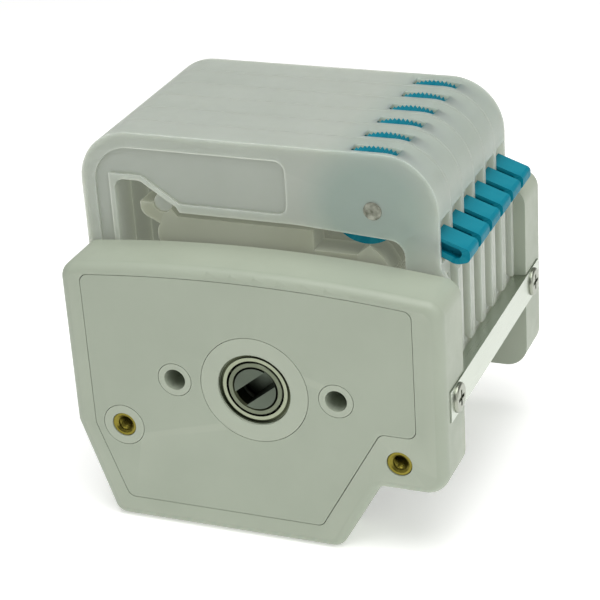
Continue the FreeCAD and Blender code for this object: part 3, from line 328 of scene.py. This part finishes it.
def finished(piece, node):
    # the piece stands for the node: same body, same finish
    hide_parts(node)
    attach(piece, body_of(nodes[node])[0])
    piece.data.materials.clear()
    piece.data.materials.append(finishOf(node))


def sharpened(mesh, degrees):
    # smooth faces, kept crisp where neighbours meet at more than the angle
    mesh.polygons.foreach_set("use_smooth", np.ones(len(mesh.polygons), bool))
    mesh.set_sharp_from_angle(angle=math.radians(degrees))


mostCorners = 4  # a face with more is split


def roundedShell(node, edge):
    # the node's own surface with doubles merged and flat faces joined, then large faces split into
    # triangles, because rounding can fill a face with many corners wrongly; a bevel rounds what stays sharp
    mesh = nodes[node].data.copy()
    mesh.name = node + "_shell"
    work = bmesh.new()
    work.from_mesh(mesh)
    bmesh.ops.remove_doubles(work, verts=work.verts, dist=edge["merge"])
    if edge["flat"]:
        bmesh.ops.dissolve_limit(work, angle_limit=math.radians(edge["flat"]), verts=work.verts,
                                 edges=work.edges)
        bmesh.ops.triangulate(work, faces=[f for f in work.faces if len(f.verts) > mostCorners])
    work.to_mesh(mesh)
    work.free()
    for name in [a.name for a in mesh.attributes if a.name.startswith("custom_normal")]:
        mesh.attributes.remove(mesh.attributes[name])
    sharpened(mesh, edge["sharp"])
    piece = bpy.data.objects.new(node + "_shell", mesh)
    bpy.context.scene.collection.objects.link(piece)
    if edge["width"]:
        bevel = piece.modifiers.new("roundEdges", "BEVEL")
        bevel.width = edge["width"]
        bevel.segments = edge["steps"]
        bevel.limit_method = "ANGLE"
        bevel.angle_limit = math.radians(edge["sharp"])
        bevel.use_clamp_overlap = True
        bevel.harden_normals = True
        bevel.miter_outer = "MITER_ARC"
    finished(piece, node)


plainEdge = {"width": 0.0, "merge": 0.000002, "flat": 0.5, "sharp": 32.0}  # metres and degrees
plateEdge = dict(plainEdge, flat=0.0)
cartridgeEdge = dict(plainEdge, width=0.0006, steps=3)
leverEdge = dict(plainEdge, width=0.00045, steps=3)
metalEdge = dict(plainEdge, width=0.00015, steps=2)
panelEdge = dict(plainEdge, width=0.00025, steps=2)

for plate in ("front_plate", "rear_plate"):
    roundedShell(plate, plateEdge)
for panel in ("front_panel", "rear_panel"):
    roundedShell(panel, panelEdge)
for number in range(1, cartridgeCount + 1):
    roundedShell("cartridge_%d_frame" % number, cartridgeEdge)
    roundedShell("cartridge_%d_shoe" % number, cartridgeEdge)
    roundedShell("cartridge_%d_lever" % number, leverEdge)
    roundedShell("cartridge_%d_pin" % number, metalEdge)
for metal in ("drive_shaft", "strip_screws", "tie_rod_screws", "rotor_disc_front", "rotor_disc_rear"):
    roundedShell(metal, metalEdge)
for strip in ("side_strip_right", "side_strip_left"):
    roundedShell(strip, plateEdge)  # thinner than two rounded edges
for rod in ("tie_rod_left", "tie_rod_right", "tie_rod_low_left", "tie_rod_low_right", "roller_axles"):
    roundedShell(rod, plainEdge)
for number in range(1, rollerCount + 1):
    roundedShell("roller_%02d" % number, metalEdge)
print("rounded shells made")


# pieces turned round an axis along Y

def gridMesh(name, points):
    # quads between neighbouring rows and columns of a point grid that closes both ways
    rows, columns = points.shape[:2]
    r, c = np.meshgrid(np.arange(rows), np.arange(columns), indexing="ij")
    nextRow = (r + 1) % rows
    nextColumn = (c + 1) % columns
    corners = [r * columns + c, r * columns + nextColumn, nextRow * columns + nextColumn,
               nextRow * columns + c]
    faces = np.stack(corners, -1).reshape(-1, 4)
    mesh = bpy.data.meshes.new(name)
    mesh.from_pydata(points.reshape(-1, 3).tolist(), [], faces.tolist())
    work = bmesh.new()
    work.from_mesh(mesh)
    bmesh.ops.recalc_face_normals(work, faces=work.faces)
    work.to_mesh(mesh)
    work.free()
    return mesh


def turnedGrid(radius, along, centre, turns):
    # x = cx + r cos t, y = cy + a, z = cz + r sin t, for each angle t and each (r, a) of the profile
    angle = np.linspace(0.0, 2 * np.pi, turns, endpoint=False)[:, None]
    radius = np.broadcast_to(radius, (turns, np.shape(radius)[-1]))
    x = centre[0] + radius * np.cos(angle)
    z = centre[2] + radius * np.sin(angle)
    y = centre[1] + np.broadcast_to(along, radius.shape)
    return np.stack([x, y, z], -1) * mm


turnedSharp = 35.0  # degrees


def turnedPiece(name, profiles, node):
    # one mesh of several turned grids, each given as (radius, along, centre, turns)
    mesh = bpy.data.meshes.new(name)
    work = bmesh.new()
    for i, profile in enumerate(profiles):
        part = gridMesh("%s_%d" % (name, i), turnedGrid(*profile))
        work.from_mesh(part)
        bpy.data.meshes.remove(part)
    work.to_mesh(mesh)
    work.free()
    sharpened(mesh, turnedSharp)
    piece = bpy.data.objects.new(name, mesh)
    bpy.context.scene.collection.objects.link(piece)
    finished(piece, node)


insert = {"radius": 3.6, "minor": 2.1, "major": 2.5, "pitch": 0.8, "mouth": 2.75, "lead": 0.5,
          "rim": 0.25, "turns": 72, "perPitch": 8}


def threadedInsert(centre, length):
    # bore radius = minor + (major - minor) * triangle(y / pitch - t / 2 pi), fading out at both ends,
    # closed by a chamfered mouth, the outside and the far end
    turns = insert["turns"]
    steps = int(insert["perPitch"] * (length - 2 * insert["lead"]) / insert["pitch"])
    y = np.linspace(insert["lead"], length - insert["lead"], steps)
    turn = np.linspace(0.0, 1.0, turns, endpoint=False)[:, None]
    phase = (y[None, :] / insert["pitch"] - turn) % 1.0
    fade = np.clip(np.minimum(y - y[0], y[-1] - y) / insert["pitch"], 0.0, 1.0)
    bore = insert["minor"] + (insert["major"] - insert["minor"]) * (1 - abs(2 * phase - 1)) * fade
    rim = insert["rim"]
    outerR = np.array([insert["radius"] - rim, insert["radius"], insert["radius"], insert["radius"] - rim,
                       insert["mouth"]])
    outerY = np.array([length, length - rim, rim, 0.0, 0.0])
    radius = np.concatenate([bore, np.broadcast_to(outerR, (turns, len(outerR)))], 1)
    along = np.concatenate([y, outerY])
    return radius, along, centre, turns


insertLow, insertHigh = [corner / mm for corner in map(np.array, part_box("threaded_inserts"))]
insertLength = insertHigh[1] - insertLow[1]
insertDrop = (insertLow[2] + insertHigh[2]) / 2
insertReach = insertHigh[0] - insert["radius"]
turnedPiece("brassInserts", [threadedInsert((side * insertReach, insertLow[1], insertDrop), insertLength)
                             for side in (-1, 1)], "threaded_inserts")

race = {"bore": 6.0, "boreChamfer": 0.55, "shoulder": 0.12, "turns": 128}


def ringProfile(inner, outer, width, innerCut, outerCut):
    # closed profile of a ring, with its four corners cut back
    radius = [inner, inner, inner + innerCut, outer - outerCut, outer, outer, outer - outerCut,
              inner + innerCut]
    along = [width - innerCut, innerCut, 0, 0, outerCut, width - outerCut, width, width]
    return np.array(radius), np.array(along)


for side in ("front", "rear"):
    low, high = [np.array(corner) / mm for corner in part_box(side + "_bearing_inner_ring")]
    width = high[1] - low[1]
    radius, along = ringProfile(race["bore"], high[0], width, race["boreChamfer"], race["shoulder"])
    turnedPiece(side + "InnerRing", [(radius, along, (0, low[1], 0), race["turns"])],
                side + "_bearing_inner_ring")
print("turned pieces made")

for name, node in nodes.items():
    if not node.hide_render:
        node.data.materials.clear()
        node.data.materials.append(finishOf(name))


# floor, light and camera

room = {"floor": (0.93, 0.93, 0.92), "floorSize": 6.0, "sky": (1.0, 1.0, 0.985), "skyPower": 0.30,
        "floorRough": 0.7, "floorGlow": 0.37}
lamps = [  # name, place, aim, size, power
    ("overhead", (0.08, -0.11, 0.75), (0.0, 0.0, 0.0), 0.70, 6.1),
    ("right", (0.75, -0.25, 0.35), (0.0, 0.04, 0.0), 0.55, 1.3),
    ("left", (-0.65, -0.55, 0.40), (0.0, 0.0, 0.0), 0.60, 0.35),
]


def aimed(place, aim):
    back = np.array(place) - np.array(aim)
    back = back / np.linalg.norm(back)
    right = np.cross((0.0, 0.0, 1.0), back)
    right = right / np.linalg.norm(right)
    return placed(right, np.cross(back, right), back, place)


def placed(right, up, back, place):
    matrix = np.eye(4)
    matrix[:3, 0] = right
    matrix[:3, 1] = up
    matrix[:3, 2] = back
    matrix[:3, 3] = place
    return Matrix(matrix.tolist())


def buildFloor():
    half = room["floorSize"] / 2
    level = cadBox[0][2]
    mesh = bpy.data.meshes.new("floor")
    corners = [(-half, -half, level), (half, -half, level), (half, half, level), (-half, half, level)]
    mesh.from_pydata(corners, [], [(0, 1, 2, 3)])
    floor = bpy.data.objects.new("floor", mesh)
    bpy.context.scene.collection.objects.link(floor)
    material, _, shader, _ = newMaterial("paleFloor")
    shader.inputs["Base Color"].default_value = (*room["floor"], 1.0)
    shader.inputs["Roughness"].default_value = room["floorRough"]
    shader.inputs["Emission Color"].default_value = (1.0, 1.0, 1.0, 1.0)
    shader.inputs["Emission Strength"].default_value = room["floorGlow"]
    mesh.materials.append(material)


def buildLight():
    world = bpy.data.worlds.new("softRoom")
    world.use_nodes = True
    background = world.node_tree.nodes["Background"]
    background.inputs["Color"].default_value = (*room["sky"], 1.0)
    background.inputs["Strength"].default_value = room["skyPower"]
    bpy.context.scene.world = world
    for name, place, aim, size, power in lamps:
        data = bpy.data.lights.new(name, "AREA")
        data.size = size
        data.energy = power
        lamp = bpy.data.objects.new(name, data)
        lamp.matrix_world = aimed(place, aim)
        bpy.context.scene.collection.objects.link(lamp)


eye = {"place": (0.19847, -0.43063, 0.25585), "right": (0.92950, 0.36375, -0.06093),
       "up": (-0.10839, 0.42734, 0.89757), "forward": (-0.35253, 0.82769, -0.43664), "lens": 121.27,
       "sensor": 36.0, "near": 0.01}


def buildCamera():
    data = bpy.data.cameras.new("eye")
    data.lens = eye["lens"]
    data.sensor_width = eye["sensor"]
    data.clip_start = eye["near"]
    camera = bpy.data.objects.new("eye", data)
    camera.matrix_world = placed(eye["right"], eye["up"], -np.array(eye["forward"]), eye["place"])
    bpy.context.scene.collection.objects.link(camera)
    bpy.context.scene.camera = camera


buildFloor()
buildLight()
buildCamera()
bpy.context.scene.view_settings.view_transform = "Standard"
print("stage set")
